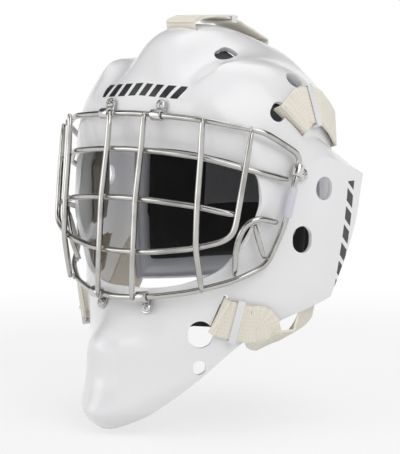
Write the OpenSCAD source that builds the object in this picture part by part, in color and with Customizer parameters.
// Ice hockey goalie mask: moulded shell, wire cage, hinged backplate, padding and straps.
// Millimetres. +Z is up, the face looks along -Y, and the origin is the middle of the wearer's head.

/* [Overall size] */
// Width of the shell across the ears
mask_w = 226; // [190:1:272]
// Depth of the mask from the chin to the backplate
mask_d = 257; // [214:1:309]
// Height of the shell from the chin to the crown
mask_h = 304; // [253:1:365]

/* [Shell] */
// Wall of the moulded shell
shell_t = 4; // [2.5:0.1:4.8]
// Radius of the round vents in the ears
ear_vent_r = 8.2; // [5:0.1:10]
// Radius of the vents in the crown and temples
top_vent_r = 7; // [4:0.1:8.5]
// Radius of the big vent on each side of the chin
chin_vent_r = 9.5; // [6:0.1:11]
// Radius of the small vent low on each side of the chin
low_vent_r = 5; // [3:0.1:6.5]

/* [Cage] */
// Thickness of the cage wire
wire_d = 4.6; // [3.8:0.1:5.2]
// Distance from the middle to each inner upright
inner_x = 16; // [12:0.5:20]
// Distance from the middle to each outer upright
outer_x = 65; // [56:0.5:72]
// Sheet thickness of the cage clips
clip_t = 1.6; // [1:0.1:2]
// Width of each cage clip
clip_w = 9; // [7:0.5:11]
// Shank radius of the clip screws
screw_r = 2.4; // [1.8:0.1:2.8]
// Radius of the domed screw heads
head_r = 4.1; // [3.2:0.1:4.4]
// Thickness of the sleeve on the cage side
sleeve_t = 1; // [0.6:0.1:1.5]

/* [Backplate] */
// Wall of the backplate
plate_t = 3.4; // [2.4:0.1:4]
// Thickness of the foam inside the backplate
plate_foam_t = 12; // [7:0.5:14]
// Thickness of the comfort panel on that foam
panel_t = 3; // [2:0.5:4]

/* [Padding] */
// Thickness of the forehead, crown and temple pads
pad_t = 13; // [9:0.5:15]
// Thickness of the jaw pads
jaw_pad_t = 15; // [10:0.5:17]
// Thickness of the sweatband on the forehead pad
band_t = 3; // [2:0.5:4]

/* [Straps] */
// Width of the elastic straps
strap_w = 29; // [22:1:32]
// Thickness of the elastic straps
strap_t = 1.8; // [1.2:0.1:2.2]
// Wall of the plastic keepers
keeper_t = 1.6; // [1.2:0.1:2]
// Length of each keeper along its strap
keeper_l = 6; // [4:0.5:7]

/* [Chin cup] */
// Width of the chin cup
cup_w = 58; // [46:1:64]
// Wall of the chin cup
cup_t = 2.4; // [1.8:0.1:3]
// Width of the chin sling
sling_w = 18; // [14:1:21]

/* [Hidden] */

$fn = 40;
gap = 0.3;              // running clearance between neighbouring pieces
head = [0, 5, 25];      // middle of the wearer's head, which the pads face
pivot = [0, 30, 118];   // where the backplate hinges on the top strap

kx = mask_w / 226;
ky = mask_d / 257;
kz = mask_h / 304;

// Scales a chosen point with the overall size.
function fit(p) = [p.x * kx, p.y * ky, p.z * kz];
function unit(v) = v / norm(v);
function flip(p) = [-p.x, p.y, p.z];
function mix(a, b, t) = a + (b - a) * t;

// Outer surface of the shell: one row for each spoke from the middle of the brow round the
// wearer's left side to the middle of the chin, each from the face opening to the outer edge.
shell_half = [
    [[0,-105,48], [0,-109,60], [0,-110,80], [0,-101,98], [0,-94,114], [0,-75,139], [0,-27,148], [0,34,129]],
    [[22,-105,48], [22,-109,60], [24,-110,80], [22,-101,98], [18,-93,114], [20,-74,138],
        [24,-24,143], [26,25,126]],
    [[46,-102,47], [47,-105,60], [48,-107,80], [42,-98,91], [34,-80,102], [35,-54,117],
        [41,-15,125], [47,24,115]],
    [[69,-97,43], [71,-99,58], [65,-102,80], [53,-97,99], [58,-80,113], [63,-51,117],
        [69,-17,113], [67,20,101]],
    [[92,-79,36], [94,-80,50], [89,-74,74], [79,-70,96], [78,-59,108], [85,-37,110], [88,-7,102], [84,20,86]],
    [[96,-76,17], [98,-69,30], [101,-56,52], [104,-46,72], [103,-32,82], [102,-17,82], [99,-1,76],
        [95,12,63]],
    [[97,-76,8], [98,-67,18], [101,-55,36], [104,-43,51], [105,-31,57], [104,-20,56], [102,-8,51], [99,4,46]],
    [[97,-77,0], [98,-66,6], [102,-53,20], [109,-37,34], [114,-20,42], [115,-4,38], [115,12,31], [115,29,26]],
    [[90,-82,-18], [93,-72,-16], [101,-54,-10], [112,-34,-4], [116,-16,-4], [117,-2,-8],
        [116,10,-12], [116,19,-14]],
    [[79,-86,-33], [83,-77,-38], [90,-68,-45], [101,-56,-51], [109,-44,-56], [112,-32,-60],
        [113,-20,-65], [112,-9,-71]],
    [[70,-93,-45], [74,-88,-51], [82,-80,-58], [90,-72,-65], [97,-64,-70], [103,-55,-73],
        [106,-49,-75], [107,-44,-76]],
    [[48,-108,-54], [52,-106,-61], [58,-103,-70], [64,-97,-79], [68,-91,-86], [72,-86,-91],
        [76,-81,-94], [80,-76,-95]],
    [[24,-117,-58], [27,-119,-68], [34,-120,-83], [41,-117,-98], [46,-111,-111], [50,-107,-121],
        [54,-103,-126], [58,-98,-126]],
    [[11,-119,-58], [12,-122,-68], [12,-133,-84], [13,-153,-96], [14,-152,-114], [16,-152,-134],
        [20,-156,-151], [32,-131,-154]],
    [[0,-119,-58], [0,-122,-68], [0,-135,-84], [0,-157,-94], [0,-153,-112], [0,-155,-134],
        [0,-174,-153], [0,-154,-170]]];

// Outer surface of the backplate: rows from the middle of the back to the left front edge,
// each from the top to the nape.
plate_half = [
    [[0,22,115], [0,60,104], [0,86,66], [0,95,20], [0,88,-25], [0,74,-68]],
    [[34,18,110], [38,52,100], [42,74,64], [45,82,20], [44,76,-25], [40,64,-70]],
    [[54,8,99], [62,34,90], [69,46,58], [73,52,18], [72,48,-26], [66,40,-72]],
    [[68,-2,88], [78,10,80], [85,18,52], [89,22,16], [88,20,-28], [82,16,-72]],
    [[75,-14,76], [86,-12,68], [92,-8,46], [96,-6,12], [95,-8,-28], [88,-10,-70]]];

shell_n = len(shell_half) - 1;
plate_n = len(plate_half) - 1;
shell_rows = [for (i = [0:2 * shell_n - 1]) i <= shell_n ? [for (p = shell_half[i]) fit(p)]
    : [for (p = shell_half[2 * shell_n - i]) fit(flip(p))]];
plate_rows = [for (i = [-plate_n:plate_n]) [for (p = plate_half[abs(i)]) fit(i < 0 ? flip(p) : p)]];

// Adds the extra points that make a smooth sheet reach its own edges.
function ends(r) = concat([2 * r[0] - r[1]], r, [2 * r[len(r) - 1] - r[len(r) - 2]]);
function ring_net(rows) = let (e = [for (r = rows) ends(r)], n = len(e))
    concat([e[n - 1]], e, [e[0], e[1]]);
function open_net(rows) = let (e = [for (r = rows) ends(r)], n = len(e))
    concat([2 * e[0] - e[1]], e, [2 * e[n - 1] - e[n - 2]]);
shell_net = ring_net(shell_rows);
plate_net = open_net(plate_rows);

// Cubic blending weights and their slopes.
function blend4(t) = [pow(1 - t, 3), 3 * t * t * t - 6 * t * t + 4,
    -3 * t * t * t + 3 * t * t + 3 * t + 1, t * t * t] / 6;
function slope4(t) = [-pow(1 - t, 2), 3 * t * t - 4 * t, -3 * t * t + 2 * t + 1, t * t] / 2;
function cell(net, u, v) = [min(floor(u), len(net) - 4), min(floor(v), len(net[0]) - 4)];
function weigh(net, c, a, b) = a * [for (i = [0:3]) b * [for (j = [0:3]) net[c.x + i][c.y + j]]];
function spot(net, u, v) = let (c = cell(net, u, v))
    weigh(net, c, blend4(u - c.x), blend4(v - c.y));
function along_u(net, u, v) = let (c = cell(net, u, v))
    weigh(net, c, slope4(u - c.x), blend4(v - c.y));
function along_v(net, u, v) = let (c = cell(net, u, v))
    weigh(net, c, blend4(u - c.x), slope4(v - c.y));
function outward(net, u, v) = unit(cross(along_u(net, u, v), along_v(net, u, v)));
function lift(net, u, v, d) = spot(net, u, v) + d * outward(net, u, v);
function on_shell(u, v, d = 0) = lift(shell_net, u, v, d);
function shell_up(u, v) = outward(shell_net, u, v);
function on_plate(u, v, d = 0) = lift(plate_net, u, v, d);
function plate_up(u, v) = outward(plate_net, u, v);

// Closed solid between two grids of points, optionally joined round the first direction.
module slab(outer, inner, round = false) {
    nu = len(outer);
    nv = len(outer[0]);
    pts = concat([for (r = inner) for (p = r) p], [for (r = outer) for (p = r) p]);
    o = nu * nv;
    last = round ? nu - 1 : nu - 2;
    function at(i, j) = (i % nu) * nv + j;
    faces = concat(
        [for (i = [0:last]) for (j = [0:nv - 2]) each [
            [at(i, j), at(i + 1, j), at(i + 1, j + 1)], [at(i, j), at(i + 1, j + 1), at(i, j + 1)],
            [o + at(i, j), o + at(i + 1, j + 1), o + at(i + 1, j)],
            [o + at(i, j), o + at(i, j + 1), o + at(i + 1, j + 1)]]],
        [for (i = [0:last]) each [
            [at(i, 0), o + at(i + 1, 0), at(i + 1, 0)], [at(i, 0), o + at(i, 0), o + at(i + 1, 0)],
            [at(i, nv - 1), at(i + 1, nv - 1), o + at(i + 1, nv - 1)],
            [at(i, nv - 1), o + at(i + 1, nv - 1), o + at(i, nv - 1)]]],
        round ? [] : [for (j = [0:nv - 2]) each [
            [at(0, j), at(0, j + 1), o + at(0, j + 1)], [at(0, j), o + at(0, j + 1), o + at(0, j)],
            [at(nu - 1, j), o + at(nu - 1, j + 1), at(nu - 1, j + 1)],
            [at(nu - 1, j), o + at(nu - 1, j), o + at(nu - 1, j + 1)]]]);
    polyhedron(pts, faces, convexity = 8);
}

// Tube swept along a path; each ring keeps the turn of the one before it.
function tangent(path, i, round) = let (n = len(path),
    a = round ? path[(i + n - 1) % n] : path[max(i - 1, 0)],
    b = round ? path[(i + 1) % n] : path[min(i + 1, n - 1)]) unit(b - a);
function first_side(t) = unit(cross(t, abs(t.z) < 0.8 ? [0, 0, 1] : [0, 1, 0]));
function sides(path, round, i = 0, s = undef) = i >= len(path) ? [] :
    let (t = tangent(path, i, round), a = s == undef ? first_side(t) : unit(s - (s * t) * t))
    concat([a], sides(path, round, i + 1, a));
module tube(path, r, round = false, n = 10) {
    s = sides(path, round);
    k = len(path);
    pts = [for (i = [0:k - 1]) let (t = tangent(path, i, round), b = cross(t, s[i]))
        for (j = [0:n - 1]) path[i] + r * (cos(360 * j / n) * s[i] + sin(360 * j / n) * b)];
    turn = round ? turn_back(path, s, n) : 0;
    faces = concat(
        [for (i = [0:round ? k - 1 : k - 2]) for (j = [0:n - 1])
            let (w = i == k - 1 ? turn : 0, e = ((i + 1) % k) * n, a = i * n + j,
                b = i * n + (j + 1) % n, c = e + (j + 1 + w) % n, d = e + (j + w) % n)
            each [[a, b, c], [a, c, d]]],
        round ? [] : [[for (j = [n - 1:-1:0]) j], [for (j = [0:n - 1]) (k - 1) * n + j]]);
    polyhedron(pts, [for (f = faces) [for (q = [len(f) - 1:-1:0]) f[q]]], convexity = 6);
}
// Whole facets by which the last ring of a closed tube is turned from the first.
function turn_back(path, s, n) = let (k = len(path), t = tangent(path, 0, true),
    e = unit(s[k - 1] - (s[k - 1] * t) * t), b = cross(t, s[0]))
    (round(atan2(e * b, e * s[0]) / 360 * n) + n) % n;

// Rounds the corners of a path, taking at most d from each side of a corner.
function rounded(p, d, k = 4, round = false) = let (n = len(p)) [for (i = [0:n - 1])
    each (!round && (i == 0 || i == n - 1)) ? [p[i]] :
        let (a = p[(i + n - 1) % n], c = p[(i + 1) % n],
            s = p[i] + unit(a - p[i]) * min(d, norm(a - p[i]) * 0.45),
            e = p[i] + unit(c - p[i]) * min(d, norm(c - p[i]) * 0.45))
        [for (q = [0:k]) let (t = q / k) mix(mix(s, p[i], t), mix(p[i], e, t), t)]];

// Flat strap through stations, each a place and the way that the strap's face looks there.
module band(stations, w, t) {
    k = len(stations);
    path = [for (q = stations) q[0]];
    way = [for (i = [0:k - 1]) tangent(path, i, false)];
    up = [for (i = [0:k - 1]) unit(stations[i][1] - (stations[i][1] * way[i]) * way[i])];
    a = [for (i = [0:k - 1]) cross(up[i], way[i])];
    slab([for (i = [0:k - 1]) [for (s = [-1, 1]) path[i] + s * w / 2 * a[i] + t / 2 * up[i]]],
        [for (i = [0:k - 1]) [for (s = [-1, 1]) path[i] + s * w / 2 * a[i] - t / 2 * up[i]]]);
}
// Rounds the bends of a strap's stations.
function eased(q, d, k = 3) = let (n = len(q)) [for (i = [0:n - 1])
    each (i == 0 || i == n - 1) ? [q[i]] :
        let (s = mix(q[i], q[i - 1], min(d / norm(q[i - 1][0] - q[i][0]), 0.45)),
            e = mix(q[i], q[i + 1], min(d / norm(q[i + 1][0] - q[i][0]), 0.45)))
        [for (m = [0:k]) let (t = m / k) mix(mix(s, q[i], t), mix(q[i], e, t), t)]];

// Puts the children at p with their z along n and their x as near to d as that allows.
module seat(p, n, d = [1, 0, 0]) {
    z = unit(n);
    x = unit(d - (d * z) * z);
    y = cross(z, x);
    multmatrix([[x.x, y.x, z.x, p.x], [x.y, y.y, z.y, p.y], [x.z, y.z, z.z, p.z], [0, 0, 0, 1]])
        children();
}
module both() {
    children();
    mirror([1, 0, 0]) children();
}

// Pad on the inside of the shell, between grid lines i and j of the shell's own mesh: its back
// follows the wall and its face looks at the head.
module wall_pad(i0, i1, j0, j1, t, off = 0) {
    back = [for (i = [i0:i1]) [for (j = [j0:j1]) on_shell(wrap_u(i / 3), j / 2, -shell_t - gap)]];
    slab([for (r = back) [for (p = r) p + off * unit(fit(head) - p)]],
        [for (r = back) [for (p = r) p + (off + t) * unit(fit(head) - p)]]);
}
function wrap_u(u) = let (n = 2 * shell_n) u < 0 ? u + n : u >= n ? u - n : u;

wire_r = wire_d / 2;
lap = wire_d + 0.25;    // spacing of two wires where they are welded across each other

// Half paths of the cage wires, from the middle to the wearer's left.
rim_half = [for (p = [[0,-116,74.5], [30,-114.5,73.5], [66,-107,70.5], [101,-79.5,62], [110.5,-46,43],
    [110.5,-54,24], [106,-60,-8], [98,-72,-39], [83,-93,-50], [58,-114,-58.5],
    [30,-128,-63], [0,-132.5,-65]]) fit(p)];
brow_half = [for (p = [[0,-119.8,47.5], [30,-118,46.5], [66,-109,43], [94,-84,33]]) fit(p)];
mid_half = [for (p = [[0,-127,11], [30,-124,10], [65,-113.5,6.5]]) fit(p)];
low_half = [for (p = [[0,-129.6,-30], [30,-127,-29], [62,-116.5,-25], [84,-106,-19]]) fit(p)];
function at_x(half, x) =
    [x, lookup(x, [for (p = half) [p.x, p.y]]), lookup(x, [for (p = half) [p.x, p.z]])];
function whole(half) = concat([for (i = [len(half) - 1:-1:1]) flip(half[i])], half);
rim_loop = concat(rim_half, [for (i = [len(rim_half) - 2:-1:1]) flip(rim_half[i])]);
rim_top = [for (i = [0:3]) rim_half[i]];
rim_low = [for (i = [11:-1:7]) rim_half[i]];
cat_kink = fit([91.5, -102.4, -12]);
cat_on = mix(rim_half[3], rim_half[2], 0.2);
cat_top = cat_on + lap * 1.02 * unit(cross(cat_kink - cat_on, rim_half[3] - rim_half[2]));
brow_end = mix(rim_half[4], rim_half[5], 0.95) + [-lap * 0.72, -lap * 0.7, 0];
mid_end = mix(cat_top, cat_kink, 0.84) + lap * unit([-0.75, 0.6, 0]);
cheek_end = rim_half[6] + lap * 1.2 * unit([-0.5, -0.85, 0.2]);
cheek_path = [cheek_end, fit([98, -84, -2]), fit([91, -91.5, -9]), fit([86, -94, -24]),
    rim_half[8] + lap * 1.2 * unit([-0.4, 0.7, 0.6])];

// Straight wire whose ends stop just short of the two wires that it joins.
function butted(a, b) = let (d = unit(b - a) * wire_r) [a + 1.3 * d, b - 1.8 * d];

// Point in front of a horizontal wire, where an upright is welded to it.
function before(half, x) = at_x(half, x) + lap * unit([0.18, -1, 0] + [0.5 * x / outer_x, 0, 0]);
function upright(x) = let (a = before(rim_top, x), e = before(rim_low, x))
    [a + [0, 0, 2], before(brow_half, x), before(mid_half, x), before(low_half, x), e - [0, 0, 2]];

module shell() color("white") difference() {
    slab(
        [for (i = [0:6 * shell_n - 1]) [for (j = [0:14]) on_shell(i / 3, j / 2)]],
        [for (i = [0:6 * shell_n - 1]) [for (j = [0:14]) on_shell(i / 3, j / 2, -shell_t)]], true);
    both() {
        vent(2.1, 5.1, top_vent_r, 1.5);
        vent(4.25, 5.2, top_vent_r, 1.25);
        vent(4.7, 2.9, top_vent_r * 0.9, 1.3);
        vent(7.5, 3.9, ear_vent_r, 1.1);
        vent(8.35, 3.15, ear_vent_r, 1.25);
        vent(11.4, 3.6, chin_vent_r, 1.1);
        vent(11.8, 6.1, low_vent_r, 1.1);
        strap_slot(temple_slot_uv, temple_end_uv);
        strap_slot(lower_slot_uv, lower_end_uv);
        for (c = clip_list) seat(clip_shell(c), clip_up(c)) translate([0, 0, -9])
            cylinder(r = screw_r + gap, h = 14);
    }
    strap_slot(top_slot_uv, [0, 7]);
}
module vent(u, v, r, long) {
    seat(on_shell(u, v), shell_up(u, v)) for (s = [-1:1]) translate([0, s * (long - 1) * r, -14])
        cylinder(r = r, h = 28);
}
module strap_slot(uv, end) {
    seat(on_shell(uv.x, uv.y), shell_up(uv.x, uv.y), way_on(uv, end))
        cube([strap_t + 2.4, strap_w + 3, 26], center = true);
}

clip_lift = 1;          // gap under a clip on the curved shell

// Clips: where the wire passes, and where the screw goes into the shell.
upper_uv = [1.1, 2.05];
side_uv = [6.95, 2.76];
lower_uv = [12.4, 1.3];
clip_list = [[upper_uv, 0], [side_uv, 1], [lower_uv, 2]];
rim_path = rounded(rim_loop, 9, 4, true);
function nearest(path, p, i = 0, best = 0) = i >= len(path) ? best :
    nearest(path, p, i + 1, norm(path[i] - p) < norm(path[best] - p) ? i : best);
// Closest point of the rim to p, and its direction there.
function on_rim(p) = let (n = len(rim_path),
    c = [for (i = [0:n - 1]) let (a = rim_path[i], b = rim_path[(i + 1) % n], d = b - a,
        t = min(1, max(0, (p - a) * d / (d * d)))) [norm(a + t * d - p), a + t * d, unit(d)]],
    m = min([for (q = c) q[0]])) [for (q = c) if (q[0] <= m) q][0];
function clip_shell(c) = on_shell(c[0].x, c[0].y);
function clip_along(c) = on_rim(clip_shell(c))[2];
function clip_up(c) = let (d = clip_along(c), n = shell_up(c[0].x, c[0].y)) unit(n - (n * d) * d);
function clip_across(c) = let (v = unit(cross(clip_up(c), clip_along(c))),
    w = on_rim(clip_shell(c))[1] - clip_shell(c)) (v * w < 0 ? -1 : 1) * v;

module clip(c) {
    p = clip_shell(c);
    w = on_rim(p)[1] - p;
    up = clip_up(c);
    ac = clip_across(c);
    dy = w * ac;
    dz = w * up;
    r0 = wire_r + 0.45;
    foot = head_r + 0.7;
    seat(p + clip_lift * up, up, cross(ac, up)) difference() {
        union() {
            cylinder(r = foot, h = clip_t);
            translate([-clip_w / 2, 0, 0]) cube([clip_w, dy, clip_t]);
            translate([-clip_w / 2, dy, 0]) cube([clip_w, clip_t, dz - clip_lift]);
            translate([-clip_w / 2, dy, dz - clip_lift]) rotate([0, 90, 0])
                cylinder(r = r0 + clip_t, h = clip_w);
        }
        translate([0, 0, -1]) cylinder(r = screw_r + 0.2, h = clip_t + 2);
        translate([-clip_w, dy, dz - clip_lift]) rotate([0, 90, 0]) cylinder(r = r0, h = 2 * clip_w);
    }
}
module clip_screw(c) {
    up = clip_up(c);
    seat(clip_shell(c) + (clip_lift + clip_t + 0.05) * up, up, clip_along(c)) difference() {
        union() {
            translate([0, 0, -clip_t - clip_lift - shell_t - 4])
                cylinder(r = screw_r, h = clip_t + clip_lift + shell_t + 4.5);
            cylinder(r = head_r, h = 0.9);
            translate([0, 0, 0.85]) intersection() {
                translate([0, 0, 2.2 - head_r * 1.25]) sphere(r = head_r * 1.25);
                cylinder(r = head_r, h = 3);
            }
        }
        for (a = [0, 90]) rotate([0, 0, a + 20]) translate([-head_r * 0.6, -0.5, 2])
            cube([head_r * 1.2, 1, 3]);
    }
}
module clip_nut(c) {
    up = clip_up(c);
    seat(clip_shell(c) - (shell_t + 1.3) * up, up, clip_along(c)) difference() {
        union() {
            translate([0, 0, -1.4]) cylinder(r = screw_r + 3, h = 1.4);
            translate([0, 0, -3.6]) cylinder(r = screw_r + 1.6, h = 3);
        }
        translate([0, 0, -5]) cylinder(r = screw_r + 0.1, h = 8);
    }
}

module cage_rim() color("silver") tube(rim_path, wire_r, true);
module brow_bar() color("silver") tube(rounded(whole(concat(brow_half, [brow_end])), 9), wire_r);
module mid_bar() color("silver") tube(rounded(whole(concat(mid_half, [mid_end])), 9), wire_r);
module cat_eye_bar() color("silver")
    tube(rounded(whole(concat(low_half, [cat_kink, cat_top])), 9, 5), wire_r);
module inner_bar() color("silver") tube(rounded(upright(inner_x), 6), wire_r);
module outer_bar() color("silver") tube(rounded(upright(outer_x), 6), wire_r);
module cheek_bar() color("silver") tube(rounded(cheek_path, 8, 5), wire_r);
module corner_brace() color("silver")
    tube(butted(mix(cheek_path[1], cheek_path[2], 0.3), on_rim(rim_half[7])[1]), wire_r);

module upper_clips() color("gainsboro") both() clip(clip_list[0]);
module side_clips() color("gainsboro") both() clip(clip_list[1]);
module lower_clips() color("gainsboro") both() clip(clip_list[2]);
module clip_screws() color("gainsboro") both() for (c = clip_list) clip_screw(c);
module clip_nuts() color("gray") both() for (c = clip_list) clip_nut(c);
module cage_sleeve() color("whitesmoke") {
    a = mix(rim_half[5], rim_half[6], 0.14);
    b = mix(rim_half[5], rim_half[6], 0.84);
    seat(a, b - a) difference() {
        cylinder(r = wire_r + 0.2 + sleeve_t, h = norm(b - a));
        translate([0, 0, -1]) cylinder(r = wire_r + 0.2, h = norm(b - a) + 2);
    }
}

module forehead_pad() color("dimgray") difference() {
    wall_pad(-7, 7, 1, 5, pad_t);
    nut_room();
}
module sweatband() color("gray") wall_pad(-6, 6, 1, 3, band_t, pad_t + gap);
crown_pad_t = pad_t * 0.6;
module crown_pad() color("dimgray") wall_pad(-4, 4, 11, 13, crown_pad_t);
// Foam behind the two vents on each side of the crown.
module crown_side_pad() color("dimgray") wall_pad(5, 14, 9, 11, crown_pad_t);
module temple_pad() color("darkgray") wall_pad(15, 19, 7, 10, pad_t * 0.8);
module cheek_pad() color("lightgray") difference() {
    wall_pad(18, 25, 3, 6, pad_t * 0.7);
    nut_room();
}
module jaw_pad() color("tan") wall_pad(26, 30, 3, 7, jaw_pad_t);
// Pockets in the pads for the nuts.
module nut_room() both() for (c = clip_list) seat(clip_shell(c) - shell_t * clip_up(c), clip_up(c))
    translate([0, 0, -7]) cylinder(r = screw_r + 4 + 2 * gap, h = 8);

module backplate() color("white") difference() {
    slab(
        [for (i = [0:24]) [for (j = [0:15]) on_plate(i / 3, j / 3)]],
        [for (i = [0:24]) [for (j = [0:15]) on_plate(i / 3, j / 3, -plate_t)]]);
    for (a = anchor_list) seat(a[0], a[1]) translate([0, 0, -8]) cylinder(r = screw_r + 0.2, h = 14);
}
// Layer inside the backplate, from depth d to depth d + t.
module plate_layer(i0, i1, j0, j1, d, t) slab(
    [for (i = [i0:i1]) [for (j = [j0:j1]) on_plate(i / 3, j / 3, -d)]],
    [for (i = [i0:i1]) [for (j = [j0:j1]) on_plate(i / 3, j / 3, -d - t)]]);
module backplate_foam() color("black") plate_layer(1, 23, 1, 14, plate_t + gap, plate_foam_t);
module comfort_panel() color("gray")
    plate_layer(6, 18, 4, 11, plate_t + 2 * gap + plate_foam_t, panel_t);

// Straps: each leaves a slot in the shell, runs back over the wall and round the shell's
// edge, and is screwed to the backplate.
strap_up = keeper_t + strap_t / 2 + 1.2;   // height of a strap's middle over the shell
strap_lift = 0.9;       // gap under a strap where it lies on the backplate
temple_slot_uv = [5.12, 3.1];
temple_end_uv = [5.1, 7];
temple_across = across_run(temple_slot_uv, temple_end_uv);
lower_slot_uv = [10.85, 3];
lower_end_uv = [10.5, 5.4];
lower_across = across_run(lower_slot_uv, lower_end_uv);
// Direction across a strap that runs over the shell between two places.
function across_run(a, b) = let (m = mix(a, b, 0.4), e = mix(a, b, 0.5))
    unit(cross(shell_up(m.x, m.y), on_shell(e.x, e.y) - on_shell(m.x, m.y)));
top_slot_uv = [0, 5.35];
top_anchor_uv = [4, 0.85];
temple_anchor_uv = [6.7, 1.9];
lower_anchor_uv = [7.4, 4.3];
function way_on(a, b) = unit(on_shell(mix(a, b, 0.1).x, mix(a, b, 0.1).y) - on_shell(a.x, a.y));
// Stations of a strap from its slot to the shell's edge.
function over_shell(slot, end, n, d, bulge = 0) =
    let (e = way_on(slot, end), up = shell_up(slot.x, slot.y)) concat(
    [[on_shell(slot.x, slot.y, -shell_t - 2), -e], [on_shell(slot.x, slot.y, d), up - e]],
    [for (i = [1:n]) let (q = mix(slot, end, i / n))
        [on_shell(q.x, q.y, d + bulge * sin(180 * i / n)), shell_up(q.x, q.y)]]);
// Stations from the shell's edge down to the backplate and past the anchor screw.
function to_plate(end, from, anchor) = let (p = on_shell(end.x, end.y), n = shell_up(end.x, end.y),
    e = unit(cross(n, along_u(shell_net, end.x, end.y))), h = strap_t / 2 + strap_lift,
    past = mix(from, anchor, 1.5))
    [[p + 5 * e + n * strap_up, 0.7 * n + e], [p + 4.5 * e - n * (shell_t + 1), n + e],
        [on_plate(from.x, from.y, h + 1.6), plate_up(from.x, from.y)],
        [on_plate(anchor.x, anchor.y, h), plate_up(anchor.x, anchor.y)],
        [on_plate(past.x, past.y, h), plate_up(past.x, past.y)]];
temple_way = eased(concat(over_shell(temple_slot_uv, temple_end_uv, 6, strap_up),
    to_plate(temple_end_uv, [7.1, 1.8], temple_anchor_uv)), 3);
lower_way = eased(concat(over_shell(lower_slot_uv, lower_end_uv, 5, strap_up),
    [[fit([91, -67, -98]), [0.5, -0.4, -0.75]], [fit([94, -44, -96]), [0.4, -0.1, -0.9]],
        [fit([95.5, -22, -80.5]), [0.85, -0.1, -0.5]]],
    [for (uv = [[7.8, 4.4], lower_anchor_uv, [7.2, 4.2]])
        [on_plate(uv.x, uv.y, strap_t / 2 + strap_lift), plate_up(uv.x, uv.y)]]), 3);
top_way = eased(concat(over_shell(top_slot_uv, [0, 7], 6, strap_up, 3),
    to_plate([0, 7], [4, 0.5], top_anchor_uv)), 3);
module temple_strap() color("ivory") difference() {
    band(temple_way, strap_w, strap_t);
    anchor_room();
}
module lower_strap() color("ivory") difference() {
    band(lower_way, strap_w, strap_t);
    anchor_room();
}
module top_strap() color("ivory") difference() {
    band(top_way, strap_w, strap_t);
    anchor_room();
}
module anchor_room() for (a = anchor_list) seat(a[0], a[1]) cylinder(r = screw_r + 0.2, h = 6);

// Keepers: a plastic frame that wraps its strap and slides along it.
function keeper_at(slot, end, f) = let (q = mix(slot, end, f)) on_shell(q.x, q.y, strap_up);
function keeper_way(slot, end, f) = unit(keeper_at(slot, end, f + 0.1) - keeper_at(slot, end, f - 0.1));
module keeper(p, way, across) {
    a = unit(across - (across * way) * way);
    up = cross(way, a);
    seat(p, up, way) difference() {
        cube([keeper_l, strap_w + 2 * keeper_t + 1.6, strap_t + 2 * keeper_t + 1], center = true);
        cube([keeper_l + 2, strap_w + 1.6, strap_t + 1], center = true);
    }
}
module top_keeper() color("white")
    keeper(on_shell(0, 6.25, strap_up + 3), unit(on_shell(0, 6.4) - on_shell(0, 6.1)), [1, 0, 0]);
module temple_keeper() color("white") keeper(keeper_at(temple_slot_uv, temple_end_uv, 0.42),
    keeper_way(temple_slot_uv, temple_end_uv, 0.42), temple_across);
module lower_keeper() color("white") keeper(keeper_at(lower_slot_uv, lower_end_uv, 0.42),
    keeper_way(lower_slot_uv, lower_end_uv, 0.42), lower_across);

// Screws that hold the straps to the backplate.
anchor_list = [for (uv = [top_anchor_uv, temple_anchor_uv, [8 - temple_anchor_uv.x, temple_anchor_uv.y],
    lower_anchor_uv, [8 - lower_anchor_uv.x, lower_anchor_uv.y]])
    [on_plate(uv.x, uv.y), plate_up(uv.x, uv.y)]];
module anchor_screws() color("gainsboro") for (a = anchor_list) seat(a[0], a[1]) {
    translate([0, 0, strap_t + strap_lift + gap]) cylinder(r = head_r, h = 1.4);
    translate([0, 0, -plate_t]) cylinder(r = screw_r, h = plate_t + strap_t + strap_lift + 1);
}

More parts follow.
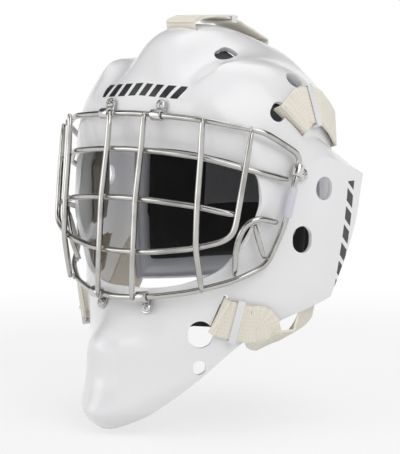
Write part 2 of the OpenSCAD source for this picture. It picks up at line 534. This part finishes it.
// Chin cup, its lining and the sling that holds it in the shell.
cup_mid = fit([0, -86, -82]);
module cup_form(r, h) intersection() {
    sphere(r = r);
    translate([-r, -r, -r]) cube([2 * r, r * 0.92, h]);
}
module chin_cup() color("black") translate(cup_mid) difference() {
    cup_form(cup_w / 2, cup_w * 0.78);
    sphere(r = cup_w / 2 - cup_t);
}
module chin_cup_pad() color("dimgray") translate(cup_mid) difference() {
    intersection() {
        sphere(r = cup_w / 2 - cup_t - gap);
        translate([-cup_w / 2 + 5, -cup_w / 2, -cup_w / 2]) cube([cup_w - 10, cup_w * 0.42, cup_w * 0.7]);
    }
    sphere(r = cup_w / 2 - cup_t - gap - 7);
}
sling_uv = [10.6, 4.4];   // where the sling is fixed inside the shell
function sling_path() = [cup_mid + [cup_w / 2 + 1.1, -4, 0], cup_mid + [cup_w / 2 + 5, 4, 1],
    on_shell(sling_uv.x, sling_uv.y, -shell_t - 5.2)];
module chin_sling() color("black")
    band([for (p = sling_path()) [p, [1, -0.3, 0]]], sling_w, 1.5);
module sling_snaps() color("silver") both()
    seat(on_shell(sling_uv.x, sling_uv.y, -shell_t - gap), shell_up(sling_uv.x, sling_uv.y))
        translate([0, 0, -3.6]) cylinder(r = 5, h = 3.2);

shell();
cage_rim();
brow_bar();
mid_bar();
cat_eye_bar();
inner_bar();  // inner_bar_left
mirror([1, 0, 0]) inner_bar();  // inner_bar_right
outer_bar();  // outer_bar_left
mirror([1, 0, 0]) outer_bar();  // outer_bar_right
cheek_bar();  // cheek_bar_left
mirror([1, 0, 0]) cheek_bar();  // cheek_bar_right
corner_brace();  // corner_brace_left
mirror([1, 0, 0]) corner_brace();  // corner_brace_right
upper_clips();
side_clips();
lower_clips();
clip_screws();
clip_nuts();
cage_sleeve();
forehead_pad();
sweatband();
crown_pad();
crown_side_pad();  // crown_side_pad_left
mirror([1, 0, 0]) crown_side_pad();  // crown_side_pad_right
temple_pad();  // temple_pad_left
mirror([1, 0, 0]) temple_pad();  // temple_pad_right
cheek_pad();  // cheek_pad_left
mirror([1, 0, 0]) cheek_pad();  // cheek_pad_right
jaw_pad();  // jaw_pad_left
mirror([1, 0, 0]) jaw_pad();  // jaw_pad_right
backplate();
backplate_foam();
comfort_panel();
top_strap();
temple_strap();  // temple_strap_left
mirror([1, 0, 0]) temple_strap();  // temple_strap_right
lower_strap();  // lower_strap_left
mirror([1, 0, 0]) lower_strap();  // lower_strap_right
top_keeper();
temple_keeper();  // temple_keeper_left
mirror([1, 0, 0]) temple_keeper();  // temple_keeper_right
lower_keeper();  // lower_keeper_left
mirror([1, 0, 0]) lower_keeper();  // lower_keeper_right
anchor_screws();
chin_cup();
chin_cup_pad();
chin_sling();  // chin_sling_left
mirror([1, 0, 0]) chin_sling();  // chin_sling_right
sling_snaps();
